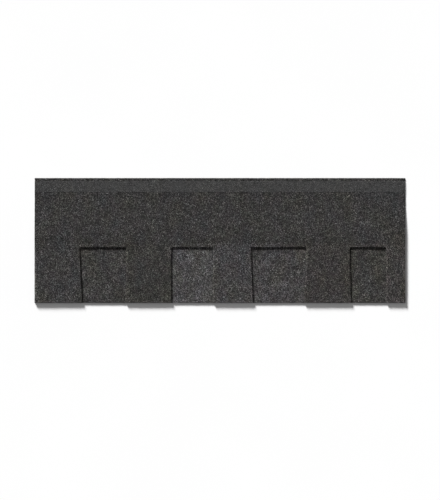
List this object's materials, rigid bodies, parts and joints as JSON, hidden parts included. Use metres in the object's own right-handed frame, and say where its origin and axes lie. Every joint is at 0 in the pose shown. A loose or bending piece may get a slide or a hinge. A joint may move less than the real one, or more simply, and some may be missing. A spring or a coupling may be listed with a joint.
{
  "type": "laminated asphalt roof shingle",
  "caption": "Flat laminated roofing shingle: a granule-faced sheet with uneven flared teeth bonded over a backing strip, and a plain headlap that the next course covers and nails hold.",
  "frame": {"origin": "under the middle of the shingle, on the plane that it lies on", "axes": "+X along the course, +Y up the roof slope from the butt edge to the top edge, +Z out of the granule face"},
  "size_m": [1, 0.337, 0.0064],
  "materials": {
    "top_granules": "matte",
    "backing_granules": "matte",
    "asphalt_adhesive": "satin",
    "asphalt_sealant": "satin",
    "release_film": "satin"
  },
  "bodies": {
    "root": {"top_sheet": "top_granules", "backing_strip": "backing_granules", "laminating_adhesive": "asphalt_adhesive", "sealant_dashes": "asphalt_sealant", "release_film": "release_film"}
  },
  "joints": []
}
